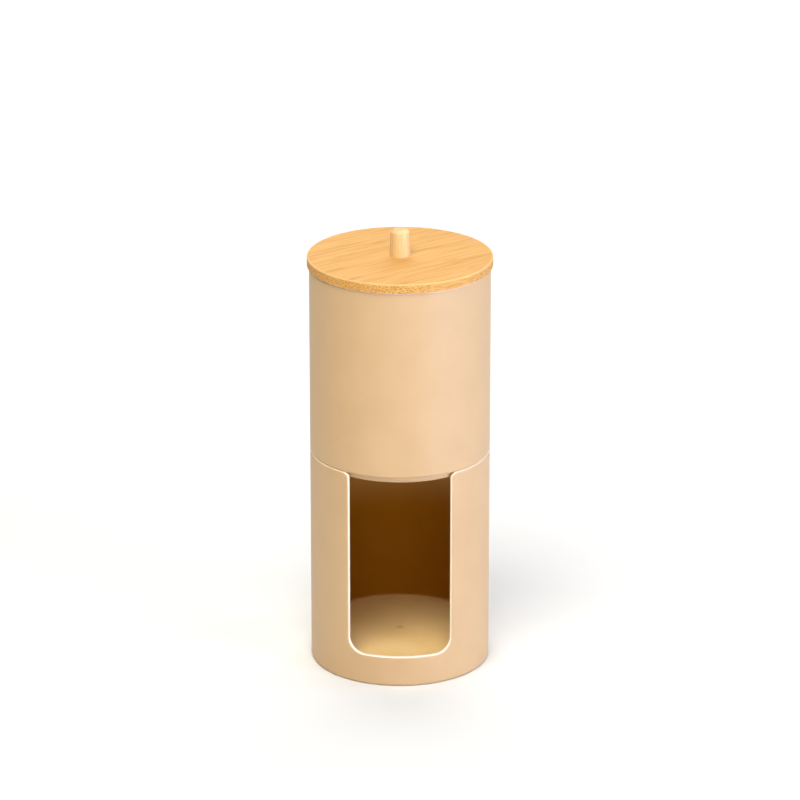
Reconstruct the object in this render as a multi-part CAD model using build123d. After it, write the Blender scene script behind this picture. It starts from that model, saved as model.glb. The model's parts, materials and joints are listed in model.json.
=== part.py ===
from build123d import *
import os

# A two-tier container for cotton pads and swabs, standing closed on its base.
# Millimetres, +Z up. The origin is the centre of the base, and the pad slot faces -Y.
# From the bottom up: a slotted dispenser cup, a plain jar that nests in it, and a
# turned bamboo lid with a peg knob. Every piece is round about Z but for the slot.

# The walls that both cups share
OUTER_RADIUS = 42.5
WALL = 2.4
FLOOR_THICKNESS = 2.4
LIP_ROUND = 1.05  # rounds both edges of a lip and leaves a narrow flat land between them

# The dispenser: pads lie flat in it, and leave through the front slot
DISPENSER_HEIGHT = 105.0
DISPENSER_FLOOR = 12.6  # top of the raised floor, above a hollow skirt
FLOOR_CORNER_ROUND = 1.2
BASE_ROUND = 1.4
BASE_INNER_ROUND = 0.2
SLOT_WIDTH = 47.0
SLOT_SILL = 15.0
SLOT_BOTTOM_ROUND = 7.0
SLOT_TOP_ROUND = 3.0
GATE_RADIUS = 1.2  # the moulding gate's mark, in the middle of the floor
GATE_DEPTH = 0.25

# The jar: its foot ring drops into the dispenser's bore, and its body rests on the rim
JAR_HEIGHT = 91.0  # from the seat on the dispenser's rim to the jar's own rim
JAR_SEAT_ROUND = 1.2
JAR_CORNER_ROUND = 3.0
FOOT_CLEARANCE = 0.35
FOOT_HEIGHT = 3.0
FOOT_OUTER_ROUND = 0.9
FOOT_INNER_ROUND = 0.3

# The lid: one turned board, a flange over the jar's rim and a plug in its bore
LID_RADIUS = 43.5
FLANGE_THICKNESS = 4.5
PLUG_DEPTH = 6.2
PLUG_CLEARANCE = 0.5
LID_TOP_ROUND = 0.5
LID_UNDER_ROUND = 0.35
PLUG_ROUND = 0.5

# The knob: a turned peg, a little tapered, whose tenon is glued in a blind hole
KNOB_HEIGHT = 13.0  # above the lid
KNOB_BASE_RADIUS = 4.8
KNOB_NECK_RADIUS = 4.4  # where the taper meets the top bevel
KNOB_BEVEL = 1.4
KNOB_EDGE_ROUND = 0.4
TENON_RADIUS = 4.0
TENON_LENGTH = 5.8
TENON_END_ROUND = 0.4
GLUE_GAP = 0.05
HOLE_DEPTH = 6.0

# Worked out from the sizes above
BORE_RADIUS = OUTER_RADIUS - WALL
FOOT_RADIUS = BORE_RADIUS - FOOT_CLEARANCE
FOOT_BORE_RADIUS = FOOT_RADIUS - WALL
PLUG_RADIUS = BORE_RADIUS - PLUG_CLEARANCE
JAR_SEAT = DISPENSER_HEIGHT
LID_SEAT = JAR_SEAT + JAR_HEIGHT
LID_TOP = LID_SEAT + FLANGE_THICKNESS
SHARP = 0
TOLERANCE = 1e-3


def turned(corners):
    """A solid turned about Z from its section: corners of (radius, height, rounding)."""
    points = [(radius, 0, height) for radius, height, _ in corners]
    rounding = [corner_round for _, _, corner_round in corners]
    outline = FilletPolyline(*points, radius=rounding, close=True)
    return revolve(make_face(outline), Axis.Z, 360)


def slot_cutter():
    """A prism through the front wall: a U with round lower corners and a flared mouth."""
    half = SLOT_WIDTH / 2
    flare = (half + SLOT_TOP_ROUND, DISPENSER_HEIGHT - SLOT_TOP_ROUND)
    corner = (half - SLOT_BOTTOM_ROUND, SLOT_SILL + SLOT_BOTTOM_ROUND)
    clear = DISPENSER_HEIGHT + WALL
    right = [
        Line((flare[0], clear), (flare[0], DISPENSER_HEIGHT)),
        CenterArc(flare, SLOT_TOP_ROUND, 90, 90),
        Line((half, flare[1]), (half, corner[1])),
        CenterArc(corner, SLOT_BOTTOM_ROUND, 0, -90),
    ]
    left = [edge.mirror(Plane.YZ) for edge in right]
    sill = Line((-corner[0], SLOT_SILL), (corner[0], SLOT_SILL))
    top = Line((-flare[0], clear), (flare[0], clear))
    outline = Wire([*left, *right, sill, top])
    return extrude(Plane.XZ * make_face(outline), OUTER_RADIUS + WALL)


def dispenser_body():
    """The lower cup: raised floor over a hollow skirt, and a slot open to the rim."""
    underside = DISPENSER_FLOOR - FLOOR_THICKNESS
    cup = turned([
        (0, underside, SHARP),
        (BORE_RADIUS, underside, FLOOR_CORNER_ROUND),
        (BORE_RADIUS, 0, BASE_INNER_ROUND),
        (OUTER_RADIUS, 0, BASE_ROUND),
        (OUTER_RADIUS, DISPENSER_HEIGHT, SHARP),
        (BORE_RADIUS, DISPENSER_HEIGHT, SHARP),
        (BORE_RADIUS, DISPENSER_FLOOR, FLOOR_CORNER_ROUND),
        (0, DISPENSER_FLOOR, SHARP),
    ])
    cup -= slot_cutter()
    # The lip's outer and inner edges are rounded on two copies, whose common solid has both
    cup = round_lip(cup, OUTER_RADIUS) & round_lip(cup, BORE_RADIUS)
    gate = Pos(0, 0, DISPENSER_FLOOR) * Cylinder(GATE_RADIUS, 2 * GATE_DEPTH)
    return cup - gate


def round_lip(cup, wall_radius):
    """The cup with its rim and slot rounded along the wall's face of this radius."""
    return fillet([edge for edge in cup.edges() if on_lip(edge, wall_radius)], LIP_ROUND)


def on_lip(edge, wall_radius):
    """Whether an edge of the rim or the slot lies on the wall's face of this radius."""
    ends = [Vector(point.X, point.Y).length for point in (edge @ 0, edge @ 1)]
    on_face = all(abs(end - wall_radius) < TOLERANCE for end in ends)
    wall_seam = edge.geom_type == GeomType.LINE and edge.center().Y > -BORE_RADIUS / 2
    above_sill = edge.center().Z > SLOT_SILL - TOLERANCE
    return on_face and above_sill and not wall_seam


def jar_body():
    """The upper cup: plain wall, flat floor, and a stepped-in ring under it."""
    seat = JAR_SEAT
    floor = seat + FLOOR_THICKNESS
    return turned([
        (0, seat, SHARP),
        (FOOT_BORE_RADIUS, seat, FOOT_INNER_ROUND),
        (FOOT_BORE_RADIUS, seat - FOOT_HEIGHT, FOOT_INNER_ROUND),
        (FOOT_RADIUS, seat - FOOT_HEIGHT, FOOT_OUTER_ROUND),
        (FOOT_RADIUS, seat, SHARP),
        (OUTER_RADIUS, seat, JAR_SEAT_ROUND),
        (OUTER_RADIUS, LID_SEAT, LIP_ROUND),
        (BORE_RADIUS, LID_SEAT, LIP_ROUND),
        (BORE_RADIUS, floor, JAR_CORNER_ROUND),
        (0, floor, SHARP),
    ])


def lid_disc():
    """The lid board: plug below, flange above, and the knob's blind hole from the top."""
    hole = TENON_RADIUS + GLUE_GAP
    return turned([
        (0, LID_SEAT - PLUG_DEPTH, SHARP),
        (PLUG_RADIUS, LID_SEAT - PLUG_DEPTH, PLUG_ROUND),
        (PLUG_RADIUS, LID_SEAT, SHARP),
        (LID_RADIUS, LID_SEAT, LID_UNDER_ROUND),
        (LID_RADIUS, LID_TOP, LID_TOP_ROUND),
        (hole, LID_TOP, SHARP),
        (hole, LID_TOP - HOLE_DEPTH, SHARP),
        (0, LID_TOP - HOLE_DEPTH, SHARP),
    ])


def lid_knob():
    """The peg: tenon below, shoulder on the lid, a slight taper and a bevelled top."""
    top = LID_TOP + KNOB_HEIGHT
    tenon_end = LID_TOP - TENON_LENGTH
    return turned([
        (0, tenon_end, SHARP),
        (TENON_RADIUS, tenon_end, TENON_END_ROUND),
        (TENON_RADIUS, LID_TOP, SHARP),
        (KNOB_BASE_RADIUS, LID_TOP, SHARP),
        (KNOB_NECK_RADIUS, top - KNOB_BEVEL, KNOB_EDGE_ROUND),
        (KNOB_NECK_RADIUS - KNOB_BEVEL, top, KNOB_EDGE_ROUND),
        (0, top, SHARP),
    ])


os.makedirs("parts", exist_ok=True)
for make in (dispenser_body, jar_body, lid_disc, lid_knob):
    export_step(make(), f"parts/{make.__name__}.step")
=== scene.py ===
import json
import math

import bpy
import numpy as np
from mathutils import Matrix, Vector

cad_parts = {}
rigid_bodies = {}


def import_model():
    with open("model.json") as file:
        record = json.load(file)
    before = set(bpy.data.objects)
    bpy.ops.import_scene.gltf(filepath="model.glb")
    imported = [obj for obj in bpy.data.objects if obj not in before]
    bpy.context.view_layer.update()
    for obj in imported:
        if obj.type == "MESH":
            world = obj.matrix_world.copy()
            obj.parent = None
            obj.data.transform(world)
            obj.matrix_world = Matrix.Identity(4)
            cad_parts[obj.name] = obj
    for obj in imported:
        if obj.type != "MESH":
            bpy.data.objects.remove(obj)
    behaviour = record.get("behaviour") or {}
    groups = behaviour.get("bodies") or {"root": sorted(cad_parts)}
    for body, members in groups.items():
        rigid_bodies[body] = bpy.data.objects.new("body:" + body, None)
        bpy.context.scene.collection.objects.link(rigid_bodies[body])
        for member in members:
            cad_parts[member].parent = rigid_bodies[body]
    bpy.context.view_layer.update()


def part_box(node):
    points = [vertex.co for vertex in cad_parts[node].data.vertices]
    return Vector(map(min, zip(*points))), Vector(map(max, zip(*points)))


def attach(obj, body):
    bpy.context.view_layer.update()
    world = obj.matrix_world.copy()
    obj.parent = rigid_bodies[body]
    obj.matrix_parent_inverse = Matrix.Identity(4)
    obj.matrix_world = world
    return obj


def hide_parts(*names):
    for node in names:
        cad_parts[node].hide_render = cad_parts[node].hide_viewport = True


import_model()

# Metres, +Z up. The container stands closed on z = 0, and its slot faces -Y.
# Angles round the axis count from the front, -Y, towards the right, +X.
MM = 0.001

# The camera looks down at the container from in front
VIEW_ELEVATION = 20.06
VIEW_DISTANCE = 2.129
AIM = Vector((0, 0, 0.1286))
FAR_FLOOR = Vector((0, 0.9, 0))
LENS = 203.2
SENSOR = 36.0

# Walls, lips and corners that the CAD boxes don't give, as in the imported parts
WALL = 2.4 * MM
LIP_ROUND = 1.05 * MM
SLOT_HALF = 23.5 * MM
SLOT_SILL = 15.0 * MM
SLOT_CORNER = 7.0 * MM
SLOT_FLARE = 3.0 * MM
DISPENSER_FLOOR = 12.6 * MM
FLOOR_THICKNESS = 2.4 * MM
FLOOR_ROUND = 1.2 * MM
BASE_ROUND = 1.4 * MM
BASE_INNER_ROUND = 0.2 * MM
GATE_RADIUS = 1.2 * MM
GATE_DEPTH = 0.25 * MM
FOOT_CLEARANCE = 0.35 * MM
FOOT_HEIGHT = 3.0 * MM
JAR_SEAT_ROUND = 1.2 * MM
JAR_FLOOR_ROUND = 3.0 * MM
FOOT_INNER_ROUND = 0.3 * MM
FOOT_OUTER_ROUND = 0.9 * MM
PLUG_CLEARANCE = 0.5 * MM
PLUG_DEPTH = 6.2 * MM
HOLE_RADIUS = 4.05 * MM
HOLE_DEPTH = 6.0 * MM
LID_TOP_ROUND = 0.5 * MM
LID_UNDER_ROUND = 0.35 * MM
PLUG_ROUND = 0.5 * MM
# CREASE sets a painted shade band round the top of the plug, where the flange shades it
CREASE = 1.4 * MM  # the darker band round the top of the plug
KNOB_BEVEL = 1.4 * MM
KNOB_EDGE_ROUND = 0.4 * MM
KNOB_NECK = 4.4 * MM
TENON_RADIUS = 4.0 * MM
TENON_END_ROUND = 0.4 * MM

# How finely the round pieces are divided
SEGMENTS = 192
KNOB_SEGMENTS = 96
ARC_STEPS = 6
LIP_STEPS = 6
ROW_LENGTH = 4.0 * MM
SAME_POINT = 0.001 * MM
NEAR = 0.01 * MM
LIP_SLACK = 0.001  # in lip roundings

# How finely the dispenser's slot and rim are divided, from the middle of the sill to the back
SILL_STEPS = 9
CORNER_STEPS = 14
SIDE_STEPS = 34
FLARE_STEPS = 10
RIM_STEPS = 50
WALL_ROWS = 4  # below the slot's corner, outside
BORE_ROWS = 2  # below the slot's corner, inside

# The bore's darkening tone, mixed in by the inside value from 0 to 1. On the bore's walls and round
# the floor's corner it is painted shade, darker further under the rim; GATE_TONE puts a share of the
# same colour on the gate's mark.
JAR_SHADE = 0.15  # how far it goes in the jar, against the dispenser's wall
GATE_TONE = 0.25  # the same, in the gate's mark
IN_BORE = 0.001  # the least inside value, which puts a point in the bore's material
SHADE_START = 7 * MM  # the depth under the rim where it begins
SHADE_RANGE = 42 * MM

# The moulded plastic's two tones, on the outside and in the bore. The bore's tones are a lighter copy
# of the same plastic: painted light, brightening a bore the lamps leave too dark.
SATIN_TONES = ((0.55, 0.345, 0.158, 1), (0.58, 0.37, 0.173, 1))
BORE_PAINTED_LIGHT_TONES = ((0.84, 0.575, 0.24, 1), (0.87, 0.605, 0.26, 1))

# Bamboo: the direction of its grain in plan, from +X towards +Y
GRAIN_ANGLE = math.radians(36)
BUNDLE = 0.95 * MM  # from one fibre bundle to the next


# ---------------------------------------------------------------- stage, camera and lights

def clear_defaults():
    """Removes the camera, lights and cube that a new Blender file may hold."""
    for found in list(bpy.data.objects):
        if found.type in ("CAMERA", "LIGHT") or found.name == "Cube":
            bpy.data.objects.remove(found)


def direction(azimuth, elevation):
    """Unit vector away from the container: azimuth 0 is the front and 90 the right, in degrees."""
    a = math.radians(azimuth)
    e = math.radians(elevation)
    return Vector((math.sin(a) * math.cos(e), -math.cos(a) * math.cos(e), math.sin(e)))


def put(name, data, target, location):
    """Adds a camera or a light there, facing its target."""
    thing = bpy.data.objects.new(name, data)
    thing.location = location
    thing.rotation_mode = "QUATERNION"
    thing.rotation_quaternion = (target - thing.location).to_track_quat("-Z", "Y")
    bpy.context.scene.collection.objects.link(thing)
    return thing


def add_camera():
    data = bpy.data.cameras.new("camera")
    data.lens = LENS
    data.sensor_width = SENSOR
    place = AIM + direction(0, VIEW_ELEVATION) * VIEW_DISTANCE
    bpy.context.scene.camera = put("camera", data, AIM, place)


def add_softbox(name, target, azimuth, elevation, distance, width, height, watts, colour=(1, 1, 1)):
    data = bpy.data.lights.new(name, "AREA")
    data.shape = "RECTANGLE"
    data.size = width
    data.size_y = height
    data.energy = watts
    data.color = colour
    put(name, data, target, target + direction(azimuth, elevation) * distance)


def add_world(strength):
    """A dim white room. Seen directly it is bright, as a lit backdrop is."""
    world = bpy.data.worlds.new("studio")
    world.use_nodes = True
    tree = world.node_tree
    room = tree.nodes["Background"]
    room.inputs["Color"].default_value = (1, 1, 1, 1)
    room.inputs["Strength"].default_value = strength
    backdrop = tree.nodes.new("ShaderNodeBackground")
    backdrop.inputs["Color"].default_value = (1, 1, 1, 1)
    seen = tree.nodes.new("ShaderNodeLightPath")
    either = tree.nodes.new("ShaderNodeMixShader")
    tree.links.new(seen.outputs["Is Camera Ray"], either.inputs[0])
    tree.links.new(room.outputs[0], either.inputs[1])
    tree.links.new(backdrop.outputs[0], either.inputs[2])
    tree.links.new(either.outputs[0], tree.nodes["World Output"].inputs["Surface"])
    bpy.context.scene.world = world


def add_floor():
    size = 6.0
    data = bpy.data.meshes.new("floor")
    corners = [(-size, -size, 0), (size, -size, 0), (size, size, 0), (-size, size, 0)]
    data.from_pydata(corners, [], [(0, 1, 2, 3)])
    floor = bpy.data.objects.new("floor", data)
    bpy.context.scene.collection.objects.link(floor)
    paper = new_material("studio_floor")
    shader = paper.node_tree.nodes["Principled BSDF"]
    shader.inputs["Base Color"].default_value = (0.76, 0.76, 0.73, 1)
    shader.inputs["Roughness"].default_value = 0.9
    shader.inputs["Specular IOR Level"].default_value = 0.0
    data.materials.append(paper)


# ---------------------------------------------------------------- materials

def new_material(name):
    material = bpy.data.materials.new(name)
    material.use_nodes = True
    return material


class Graph:
    """Short calls for building a material's node tree."""

    def __init__(self, material):
        self.tree = material.node_tree
        self.shader = self.tree.nodes["Principled BSDF"]

    def node(self, kind, inputs=None, **settings):
        made = self.tree.nodes.new(kind)
        for key, value in settings.items():
            setattr(made, key, value)
        for key, value in (inputs or {}).items():
            self.feed(made.inputs[key], value)
        return made

    def feed(self, socket, value):
        if isinstance(value, bpy.types.NodeSocket):
            self.tree.links.new(value, socket)
        else:
            socket.default_value = value

    def math(self, operation, a, b=0.0):
        return self.node("ShaderNodeMath", {0: a, 1: b}, operation=operation).outputs[0]

    def span(self, value, low, high, out_low=0.0, out_high=1.0):
        """value from low..high to out_low..out_high, clamped and eased."""
        made = self.node("ShaderNodeMapRange", {
            "Value": value, "From Min": low, "From Max": high,
            "To Min": out_low, "To Max": out_high,
        }, interpolation_type="SMOOTHSTEP")
        return made.outputs["Result"]

    def mix(self, factor, first, second):
        made = self.node("ShaderNodeMix", data_type="RGBA")
        self.feed(made.inputs[0], factor)
        self.feed(made.inputs[6], first)
        self.feed(made.inputs[7], second)
        return made.outputs[2]

    def noise(self, vector, scale=1.0, detail=2.0):
        made = self.node("ShaderNodeTexNoise", {"Vector": vector, "Scale": scale, "Detail": detail})
        return made.outputs["Fac"]

    def attribute(self, name):
        return self.node("ShaderNodeAttribute", attribute_name=name).outputs["Fac"]

    def object_space(self, period=(MM, MM, MM), angle=0.0):
        """Object coordinates turned about Z by -angle, in units of the period along each axis."""
        point = self.node("ShaderNodeTexCoord").outputs["Object"]
        turned = self.node("ShaderNodeVectorRotate", {
            "Vector": point, "Angle": -angle,
        }, rotation_type="Z_AXIS").outputs[0]
        scale = tuple(1 / size for size in period)
        made = self.node("ShaderNodeVectorMath", {0: turned, 1: scale}, operation="MULTIPLY")
        return made.outputs[0]

    def bump(self, height, distance):
        made = self.node("ShaderNodeBump", {"Height": height, "Distance": distance})
        self.tree.links.new(made.outputs[0], self.shader.inputs["Normal"])


def moulded_plastic(name, tones, specular, roughness):
    """Beige plastic: a fine moulded grain, faint clouding, a pale buff painted highlight on the lips,
    and painted shade darkening the bore.
    """
    material = new_material(name)
    g = Graph(material)
    point = g.object_space()
    cloud = g.noise(point, 0.05, 3.0)
    grain = g.noise(point, 2.2, 2.0)
    beige = g.mix(g.span(cloud, 0.3, 0.7), tones[0], tones[1])
    speckled = g.mix(g.span(grain, 0.35, 0.65, 0.0, 0.12), beige, (0.48, 0.28, 0.11, 1))
    # painted shade: the bore darkens to a dark brown by the inside value, standing in for shade far
    # down the bore
    painted_bore_shade = g.mix(g.attribute("inside"), speckled, (0.30, 0.11, 0.002, 1))
    # painted highlight: where the lip value is high the rims and slot edges turn pale buff, standing
    # in for light catching them
    painted_lip_highlight = g.mix(g.span(g.attribute("lip"), 0.25, 0.55), painted_bore_shade, (0.93, 0.80, 0.62, 1))
    g.feed(g.shader.inputs["Base Color"], painted_lip_highlight)
    g.feed(g.shader.inputs["Roughness"], g.span(cloud, 0.2, 0.8, roughness, roughness + 0.08))
    g.shader.inputs["Specular IOR Level"].default_value = specular
    g.bump(grain, 0.012 * MM)
    return material


def bamboo():
    """Laminated bamboo, solid through the board: fibre bundles are dots on the end grain and
    streaks along it."""
    material = new_material("bamboo_board")
    g = Graph(material)
    wave = g.noise(g.object_space((30 * MM, 6 * MM, 6 * MM), GRAIN_ANGLE), 1.0, 1.0)
    lined = g.node("ShaderNodeSeparateXYZ", {0: g.object_space((MM, BUNDLE, BUNDLE), GRAIN_ANGLE)})
    across = g.math("ADD", lined.outputs["Y"], g.math("MULTIPLY", wave, 1.6))
    section = g.node("ShaderNodeCombineXYZ", {"X": across, "Y": lined.outputs["Z"]}).outputs[0]
    bundles = g.node("ShaderNodeTexVoronoi", {
        "Vector": section, "Scale": 1.0, "Randomness": 0.8,
    }, voronoi_dimensions="2D")
    facing = g.node("ShaderNodeTexCoord").outputs["Normal"]
    grain = (math.cos(GRAIN_ANGLE), math.sin(GRAIN_ANGLE), 0.0)
    along = g.node("ShaderNodeVectorMath", {0: facing, 1: grain}, operation="DOT_PRODUCT")
    end_grain = g.span(g.math("ABSOLUTE", along.outputs["Value"]), 0.15, 0.6)
    dots = g.span(bundles.outputs["Distance"], 0.18, 0.40, 1.0, 0.0)
    dots = g.math("MULTIPLY", dots, g.span(end_grain, 0.0, 1.0, 0.3, 0.85))
    streak = g.noise(g.object_space((30 * MM, 1.1 * MM, 1.1 * MM), GRAIN_ANGLE), 1.0, 3.0)
    fibre = g.noise(g.object_space((22 * MM, 0.4 * MM, 0.4 * MM), GRAIN_ANGLE), 1.0, 2.0)
    band = g.noise(g.object_space((120 * MM, 9 * MM, 30 * MM), GRAIN_ANGLE), 1.0, 1.0)
    dark = g.noise(g.object_space((22 * MM, 3.2 * MM, 6 * MM), GRAIN_ANGLE), 1.0, 1.0)
    tone = g.mix(g.span(band, 0.3, 0.7), (0.60, 0.30, 0.072, 1), (0.64, 0.335, 0.09, 1))
    tone = g.mix(g.span(streak, 0.36, 0.66, 0.0, 0.6), tone, (0.56, 0.255, 0.045, 1))
    tone = g.mix(g.span(fibre, 0.35, 0.65, 0.0, 0.5), tone, (0.76, 0.46, 0.15, 1))
    tone = g.mix(g.span(dark, 0.6, 0.8, 0.0, 0.5), tone, (0.42, 0.20, 0.04, 1))
    tone = g.mix(dots, tone, (0.40, 0.16, 0.025, 1))
    # painted highlight: the eased top edge lightened by the lip value
    tone = g.mix(g.math("MULTIPLY", g.attribute("lip"), 0.4), tone, (0.90, 0.62, 0.27, 1))
    # painted shade: the crease under the flange darkened by the inside value
    tone = g.mix(g.math("MULTIPLY", g.attribute("inside"), 0.5), tone, (0.30, 0.13, 0.025, 1))
    g.feed(g.shader.inputs["Base Color"], tone)
    g.feed(g.shader.inputs["Roughness"], g.span(fibre, 0.2, 0.8, 0.68, 0.55))
    g.shader.inputs["Specular IOR Level"].default_value = 0.3
    g.bump(g.math("SUBTRACT", fibre, dots), 0.03 * MM)
    return material


def peg_wood():
    """Pale close-grained wood, its grain upright."""
    material = new_material("pale_turned_wood")
    g = Graph(material)
    fibre = g.noise(g.object_space((0.55 * MM, 0.55 * MM, 14 * MM)), 1.0, 3.0)
    ring = g.noise(g.object_space((2.4 * MM, 2.4 * MM, 40 * MM)), 1.0, 1.0)
    tone = g.mix(g.span(ring, 0.3, 0.7), (0.76, 0.505, 0.22, 1), (0.80, 0.555, 0.262, 1))
    tone = g.mix(g.span(fibre, 0.45, 0.75, 0.0, 0.5), tone, (0.66, 0.39, 0.13, 1))
    facing = g.node("ShaderNodeSeparateXYZ", {0: g.node("ShaderNodeTexCoord").outputs["Normal"]})
    end_grain = g.span(facing.outputs["Z"], 0.85, 0.97, 0.0, 0.85)
    tone = g.mix(end_grain, tone, (0.62, 0.40, 0.21, 1))
    g.feed(g.shader.inputs["Base Color"], tone)
    g.feed(g.shader.inputs["Roughness"], g.span(fibre, 0.2, 0.8, 0.50, 0.62))
    g.shader.inputs["Specular IOR Level"].default_value = 0.35
    g.bump(fibre, 0.02 * MM)
    return material


# ---------------------------------------------------------------- mesh building

class Weave:
    """A quad mesh woven row by row: points with a lip value (where the painted highlight goes) and an
    inside value (painted shade, and the bore's material) each, and strips.
    """

    def __init__(self):
        self.points = []
        self.faces = []
        self.lip = []
        self.inside = []

    def row(self, points, lip=0.0, inside=0.0):
        """Adds points and returns their numbers. lip and inside are one value, or one each."""
        start = len(self.points)
        count = len(points)
        self.points.extend(tuple(float(v) for v in point) for point in points)
        self.lip.extend(np.broadcast_to(lip, count).tolist())
        self.inside.extend(np.broadcast_to(inside, count).tolist())
        return list(range(start, start + count))

    def strip(self, first, second, closed=False):
        """Quads between two rows of as many points."""
        count = len(first)
        for i in range(count if closed else count - 1):
            j = (i + 1) % count
            self.faces.append((first[i], first[j], second[j], second[i]))

    def fan(self, row, centre, closed=False, reverse=False):
        """Triangles from a row to its centre point."""
        count = len(row)
        for i in range(count if closed else count - 1):
            j = (i + 1) % count
            face = (row[i], row[j], centre)
            self.faces.append(face[::-1] if reverse else face)

    def build(self, name, bore_material=False):
        data = bpy.data.meshes.new(name)
        data.from_pydata(self.points, [], self.faces)
        for key, values in (("lip", self.lip), ("inside", self.inside)):
            layer = data.attributes.new(key, "FLOAT", "POINT")
            layer.data.foreach_set("value", np.array(values, np.float32))
        data.polygons.foreach_set("use_smooth", [True] * len(data.polygons))
        if bore_material:
            in_bore = [all(self.inside[i] > 0 for i in face) for face in self.faces]
            data.polygons.foreach_set("material_index", in_bore)
        data.set_sharp_from_angle(angle=math.radians(40))
        data.validate()
        made = bpy.data.objects.new(name, data)
        bpy.context.scene.collection.objects.link(made)
        return made


def finish_piece(piece, body, node, slot, *materials):
    """Even shading over flats and rounds, the materials, and the piece's place in the frame."""
    weighted = piece.modifiers.new("even_shading", "WEIGHTED_NORMAL")
    weighted.keep_sharp = True
    for material in materials:
        piece.data.materials.append(material)
    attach(piece, body)
    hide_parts(node)


def rounded(corners):
    """A section's points from its corners of (radius, height, rounding), long runs divided."""
    outline = []
    last = len(corners) - 1
    for i, (r, z, rounding) in enumerate(corners):
        here = np.array((r, z))
        if rounding == 0 or i in (0, last):
            outline.append(here)
            continue
        back = np.array(corners[i - 1][:2]) - here
        ahead = np.array(corners[i + 1][:2]) - here
        back /= np.linalg.norm(back)
        ahead /= np.linalg.norm(ahead)
        half = math.acos(float(np.clip(back @ ahead, -1, 1))) / 2
        reach = rounding / math.tan(half)
        outline.extend(arc(here + back * reach, here, here + ahead * reach, math.sin(half), ARC_STEPS))
    spaced = [outline[0]]
    for point in outline[1:]:
        start = spaced[-1]
        run = np.linalg.norm(point - start)
        if run < SAME_POINT:
            continue
        parts = math.ceil(run / ROW_LENGTH)
        spaced.extend(start + (point - start) * step / parts for step in range(1, parts + 1))
    return spaced


def arc(start, corner, end, weight, steps):
    """Points of a circle's arc that is tangent to start-corner and corner-end."""
    points = []
    for step in range(steps + 1):
        t = step / steps
        a, b, c = (1 - t) ** 2, 2 * weight * t * (1 - t), t ** 2
        points.append((a * start + b * corner + c * end) / (a + b + c))
    return points


def around(angles, radius, height):
    """Points of a circle about the axis at those angles, counted from the front."""
    return np.stack([
        radius * np.sin(angles), -radius * np.cos(angles), np.full(len(angles), height),
    ], axis=1)


def turned(name, corners, segments=SEGMENTS, marks=None, bore_material=False):
    """A closed mesh turned about Z from a section that starts and ends on the axis.
    marks gives the lip and inside values of a section point."""
    weave = Weave()
    angles = np.arange(segments) * math.tau / segments
    section = rounded(corners)
    first = weave.row([(0, 0, section[0][1])])[0]
    rows = []
    for r, z in section[1:-1]:
        lip, inside = marks(r, z) if marks else (0.0, 0.0)
        rows.append(weave.row(around(angles, r, z), lip, inside))
    last = weave.row([(0, 0, section[-1][1])])[0]
    weave.fan(rows[0], first, closed=True, reverse=True)
    for lower, upper in zip(rows, rows[1:]):
        weave.strip(lower, upper, closed=True)
    weave.fan(rows[-1], last, closed=True)
    return weave.build(name, bore_material)


def rim_marks(outer, floor, top):
    """The lip and inside values of a cup's section point, from its wall's outside, floor and top: lip
    places the painted highlight on the rim's roundings, inside the painted shade down the bore.
    """
    def marks(r, z):
        across = min(outer - r, r - (outer - WALL)) / LIP_ROUND
        down = (top - z) / LIP_ROUND
        near_top = down <= 1 + LIP_SLACK and across >= -LIP_SLACK
        lip = max(0.0, 1 - max(0.0, down), min(1.0, across)) if near_top else 0.0
        in_bore = r < outer - WALL + NEAR and z > floor - NEAR
        return lip, JAR_SHADE * painted_depth_shade(top - z) if in_bore else 0.0
    return marks


def painted_depth_shade(depth):
    """How much painted shade the inner wall has at this depth under the rim, from 0 to 1."""
    t = max(0.0, min(1.0, (depth - SHADE_START) / SHADE_RANGE))
    return max(IN_BORE, math.sin(t * math.pi / 2))


# ---------------------------------------------------------------- the dispenser's mesh

def slot_path(height):
    """The right half of the slot's outline, from the middle of the sill to the rim:
    (x, z, direction x, direction z) at each station."""
    centre_x = SLOT_HALF - SLOT_CORNER
    centre_z = SLOT_SILL + SLOT_CORNER
    path = [(x, SLOT_SILL, 1.0, 0.0) for x in np.linspace(0, centre_x, SILL_STEPS + 1)[:-1]]
    for angle in np.linspace(-math.pi / 2, 0, CORNER_STEPS + 1)[:-1]:
        c, s = math.cos(angle), math.sin(angle)
        path.append((centre_x + SLOT_CORNER * c, centre_z + SLOT_CORNER * s, -s, c))
    top = height - SLOT_FLARE
    path += [(SLOT_HALF, z, 0.0, 1.0) for z in np.linspace(centre_z, top, SIDE_STEPS + 1)[:-1]]
    for angle in np.linspace(math.pi, math.pi / 2, FLARE_STEPS + 1):
        c, s = math.cos(angle), math.sin(angle)
        path.append((SLOT_HALF + SLOT_FLARE + SLOT_FLARE * c, top + SLOT_FLARE * s, s, -c))
    return path


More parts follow.
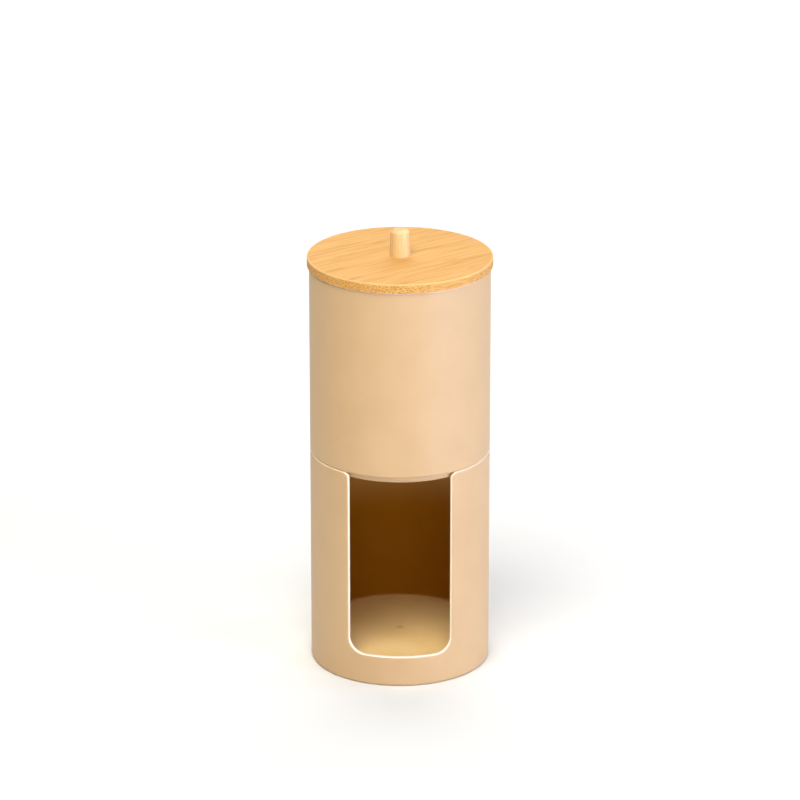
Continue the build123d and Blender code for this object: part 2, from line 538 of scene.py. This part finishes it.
def lip_edge(radius, side, height):
    """The right half of one edge of the lip, on the wall's outer face (side 1) or inner face
    (side -1). Returns, station by station, where its rounding starts on the wall, the sharp corner it
    replaces, where it ends on the land, and the weight of its arc."""
    stations = []
    for x, z, dx, dz in slot_path(height):
        y = -math.sqrt(radius ** 2 - x ** 2)
        along = Vector((dx, -dx * x / y, dz)).normalized()
        stations.append((Vector((x, y, z)), along, Vector((-dz, 0, dx))))
    flare_end = math.asin((SLOT_HALF + SLOT_FLARE) / radius)
    for angle in np.linspace(flare_end, math.pi, RIM_STEPS + 1)[1:]:
        c, s = math.cos(angle), math.sin(angle)
        rim_point = Vector((radius * s, -radius * c, height))
        stations.append((rim_point, Vector((c, s, 0)), Vector((0, 0, 1))))
    starts, corners, ends, weights = [], [], [], []
    for corner, along, open_way in stations:
        wall_way = Vector((corner.x, corner.y, 0)).normalized() * side
        turn = wall_way.angle(open_way)
        reach = LIP_ROUND * math.tan(turn / 2)
        down = wall_way.cross(along)
        down *= -1 if down.dot(open_way) > 0 else 1
        across = open_way.cross(along)
        across *= -1 if across.dot(wall_way) > 0 else 1
        start = corner + down * reach
        flat = Vector((start.x, start.y, 0)).normalized() * radius
        starts.append(np.array((flat.x, flat.y, start.z)))
        corners.append(np.array(corner))
        ends.append(np.array(corner + across * reach))
        weights.append(math.cos(turn / 2))
    return starts, corners, ends, weights


def wall_grid(edge, bottom, lower_rows):
    """Points of a slotted wall's right half as columns round and rows up, edged by the lip.
    Below the slot's corner every column is there; above it, only those beside the slot.
    Returns rows of (angle, height) and the number of the first column beside the slot."""
    angle = [math.atan2(p[0], -p[1]) for p in edge]
    height = [p[2] for p in edge]
    side = SILL_STEPS + CORNER_STEPS // 2
    upper = CORNER_STEPS // 2 + SIDE_STEPS + FLARE_STEPS // 2
    top = side + upper
    beside = np.array(angle[top:])
    share = (beside - beside[0]) / (math.pi - beside[0])
    foot = beside + (angle[side] - beside[0]) * (1 - share)
    u = (foot - foot[0]) / (math.pi - foot[0])
    rows = []
    for k in range(lower_rows):
        t = k / lower_rows
        left = [(a, bottom + (h - bottom) * t) for a, h in zip(angle[:side], height[:side])]
        right = [(a, bottom + (height[side] - bottom) * t) for a in foot]
        rows.append(left + right)
    left = [(a, h) for a, h in zip(angle[:side], height[:side])]
    rows.append(left + [(a, height[side]) for a in foot])
    low, high = np.array((foot, np.full(len(foot), height[side]))), np.array((beside, height[top:]))
    span = height[top] - height[side]
    for k in range(1, upper + 1):
        v = (height[side + k] - height[side]) / span
        near = np.array((angle[side + k], height[side + k]))[:, None]
        far = np.array((math.pi, height[side] + (height[-1] - height[side]) * v))[:, None]
        corners = (1 - v) * ((1 - u) * low[:, :1] + u * low[:, -1:])
        corners = corners + v * ((1 - u) * high[:, :1] + u * high[:, -1:])
        blend = (1 - v) * low + v * high + (1 - u) * near + u * far - corners
        rows.append([tuple(point) for point in blend.T])
    return rows, side


def weave_wall(weave, rows, side, radius, inward, top):
    """Adds a wall's rows to the mesh. Returns the numbers of its bottom row, that row's angles,
    and the numbers of the points along the lip."""
    full = len(rows[0])
    lower = [row for row in rows if len(row) == full]
    numbered = []
    for row in rows:
        angles = np.array([a for a, _ in row])
        points = around(angles, radius, 0.0)
        points[:, 2] = [h for _, h in row]
        # painted shade, darker further down the inner wall
        shade = [painted_depth_shade(top - h) if inward else 0.0 for _, h in row]
        numbered.append(weave.row(points, 0.0, shade))
    for i in range(len(rows) - 1):
        first, second = numbered[i], numbered[i + 1]
        if len(first) > len(second):
            first = first[side:]
        weave.strip(second, first) if inward else weave.strip(first, second)
    path = numbered[len(lower) - 1][:side + 1]
    path += [row[0] for row in numbered[len(lower):]]
    path += numbered[-1][1:]
    return numbered[0], [a for a, _ in rows[0]], path


def dispenser_mesh():
    """The slotted cup's right half, then its mirror image."""
    low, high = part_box("dispenser_body")
    outer, height = high.x, high.z
    bore = outer - WALL
    underside = DISPENSER_FLOOR - FLOOR_THICKNESS
    weave = Weave()
    outer_edge = lip_edge(outer, 1, height)
    inner_edge = lip_edge(bore, -1, height)
    rows, side = wall_grid(outer_edge[0], BASE_ROUND, WALL_ROWS)
    outer_foot, outer_angles, outer_path = weave_wall(
        weave, rows, side, outer, False, height)
    rows, side = wall_grid(inner_edge[0], DISPENSER_FLOOR + FLOOR_ROUND, BORE_ROWS)
    inner_foot, inner_angles, inner_path = weave_wall(
        weave, rows, side, bore, True, height)

    # The lip: outer rounding, flat land, inner rounding
    outer_arcs = [arc(a, b, c, w, LIP_STEPS) for a, b, c, w in zip(*outer_edge)]
    inner_arcs = [arc(a, b, c, w, LIP_STEPS) for a, b, c, w in zip(*inner_edge)]
    path = outer_path
    # the lip value rises over the outer rounding and falls over the inner one: it places the painted
    # highlight
    for step in range(1, LIP_STEPS + 1):
        row = weave.row([points[step] for points in outer_arcs], step / LIP_STEPS)
        weave.strip(path, row)
        path = row
    for step in range(LIP_STEPS, 0, -1):
        row = weave.row([points[step] for points in inner_arcs], step / LIP_STEPS)
        weave.strip(path, row)
        path = row
    weave.strip(path, inner_path)

    # Under the outer wall: the base, the skirt's inside and the underside
    below = rounded([
        (0, underside, 0), (bore, underside, FLOOR_ROUND), (bore, 0, BASE_INNER_ROUND),
        (outer, 0, BASE_ROUND), (outer, BASE_ROUND, 0),
    ])[:-1]
    close_disc(weave, below, outer_angles, outer_foot, bore, False)

    # Under the inner wall: the floor, with the moulding gate's mark in its middle
    above = rounded([
        (0, DISPENSER_FLOOR - GATE_DEPTH, 0), (GATE_RADIUS, DISPENSER_FLOOR - GATE_DEPTH, 0),
        (GATE_RADIUS, DISPENSER_FLOOR, 0), (2 * GATE_RADIUS, DISPENSER_FLOOR, 0),
        (bore, DISPENSER_FLOOR, FLOOR_ROUND),
        (bore, DISPENSER_FLOOR + FLOOR_ROUND, 0),
    ])[:-1]
    close_disc(weave, above, inner_angles, inner_foot, bore, True)
    piece = weave.build("dispenser", bore_material=True)
    mirror = piece.modifiers.new("left_half", "MIRROR")
    mirror.merge_threshold = SAME_POINT
    return piece


def close_disc(weave, section, angles, foot, bore, inward):
    """Half rings from the axis out to a wall's foot. section starts on the axis."""
    angles = np.array(angles)
    centre = weave.row([(0, 0, section[0][1])], 0.0, GATE_TONE if inward else 0.0)[0]
    rings = []
    for r, z in section[1:]:
        # the wall's painted shade carried round the floor's corner rounding
        corner = max(IN_BORE, 1 - (bore - r) / FLOOR_ROUND)
        gate = GATE_TONE if r < GATE_RADIUS + NEAR else 0.0
        rings.append(weave.row(around(angles, r, z), 0.0, max(corner, gate) if inward else 0.0))
    rings.append(foot)
    weave.fan(rings[0], centre, reverse=not inward)
    for first, second in zip(rings, rings[1:]):
        weave.strip(second, first) if inward else weave.strip(first, second)


# ---------------------------------------------------------------- the turned pieces

def jar_mesh():
    low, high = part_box("jar_body")
    outer, top = high.x, high.z
    bore = outer - WALL
    seat = low.z + FOOT_HEIGHT
    foot = bore - FOOT_CLEARANCE
    foot_bore = foot - WALL
    return turned("jar", [
        (0, seat, 0), (foot_bore, seat, FOOT_INNER_ROUND), (foot_bore, low.z, FOOT_INNER_ROUND),
        (foot, low.z, FOOT_OUTER_ROUND), (foot, seat, 0), (outer, seat, JAR_SEAT_ROUND),
        (outer, top, LIP_ROUND), (bore, top, LIP_ROUND),
        (bore, seat + FLOOR_THICKNESS, JAR_FLOOR_ROUND), (0, seat + FLOOR_THICKNESS, 0),
    ], marks=rim_marks(outer, seat + FLOOR_THICKNESS, top), bore_material=True)


def lid_mesh():
    low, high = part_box("lid_disc")
    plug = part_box("jar_body")[1].x - WALL - PLUG_CLEARANCE
    seat = low.z + PLUG_DEPTH
    # Extra section points keep the painted shade of the crease and the painted highlight of the eased
    # edge narrow
    beside_crease = 1 * MM
    beside_plug = 2 * MM
    beside_edge = 0.8 * MM
    return turned("lid", [
        (0, low.z, 0), (plug, low.z, PLUG_ROUND), (plug, seat - CREASE - beside_crease, 0),
        (plug, seat - CREASE, 0), (plug, seat, 0), (plug + beside_plug, seat, 0),
        (high.x, seat, LID_UNDER_ROUND),
        (high.x, high.z - beside_edge, 0), (high.x, high.z, LID_TOP_ROUND),
        (high.x - beside_edge, high.z, 0), (HOLE_RADIUS, high.z, 0),
        (HOLE_RADIUS, high.z - HOLE_DEPTH, 0), (0, high.z - HOLE_DEPTH, 0),
    ], marks=edge_marks(high.x, high.z, plug, seat))


def edge_marks(radius, top, plug, seat):
    """The board's lip value, 1 on the eased edge of its top, and its inside value, 1 in the crease
    between plug and flange. These place a painted highlight on the edge and painted shade in the
    crease."""
    def marks(r, z):
        eased = radius - LID_TOP_ROUND - NEAR < r and top - LID_TOP_ROUND - NEAR < z
        crease = abs(r - plug) < NEAR and seat - CREASE - NEAR < z
        return float(eased), float(crease)
    return marks


def knob_mesh():
    low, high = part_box("lid_knob")
    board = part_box("lid_disc")[1].z
    return turned("knob", [
        (0, low.z, 0), (TENON_RADIUS, low.z, TENON_END_ROUND), (TENON_RADIUS, board, 0),
        (high.x, board, 0), (KNOB_NECK, high.z - KNOB_BEVEL, KNOB_EDGE_ROUND),
        (KNOB_NECK - KNOB_BEVEL, high.z, KNOB_EDGE_ROUND), (0, high.z, 0),
    ], segments=KNOB_SEGMENTS)


# ---------------------------------------------------------------- the scene

clear_defaults()
add_camera()
add_world(0.12)
add_softbox("backdrop", FAR_FLOOR, 180, 70, 1.4, 2.4, 1.0, 30)
add_softbox("key_high", AIM, -18, 60, 1.6, 1.1, 0.9, 26, (1.0, 0.98, 0.93))
add_softbox("front", AIM, 4, 14, 1.7, 1.3, 0.35, 7.5, (1.0, 0.975, 0.97))
add_softbox("right_mid", AIM, 52, 8, 1.6, 0.45, 0.5, 10, (0.88, 1.02, 1.5))
add_softbox("right", AIM, 92, 12, 1.5, 0.5, 0.8, 6.5, (0.95, 1.0, 1.3))
add_floor()
bpy.context.scene.view_settings.view_transform = "Standard"

outside = moulded_plastic("satin_moulding", SATIN_TONES, 1.0, 0.46)
# the bore's material: its lighter tones are painted light, and it carries the painted shade; its
# specular and roughness differ too
bore = moulded_plastic("matt_bore_painted_light_and_shade", BORE_PAINTED_LIGHT_TONES, 0.1, 0.85)
finish_piece(dispenser_mesh(), "dispenser", "dispenser_body", "matte_beige_plastic", outside, bore)
finish_piece(jar_mesh(), "jar", "jar_body", "matte_beige_plastic", outside, bore)
finish_piece(lid_mesh(), "lid", "lid_disc", "bamboo", bamboo())
finish_piece(knob_mesh(), "lid", "lid_knob", "pale_wood", peg_wood())
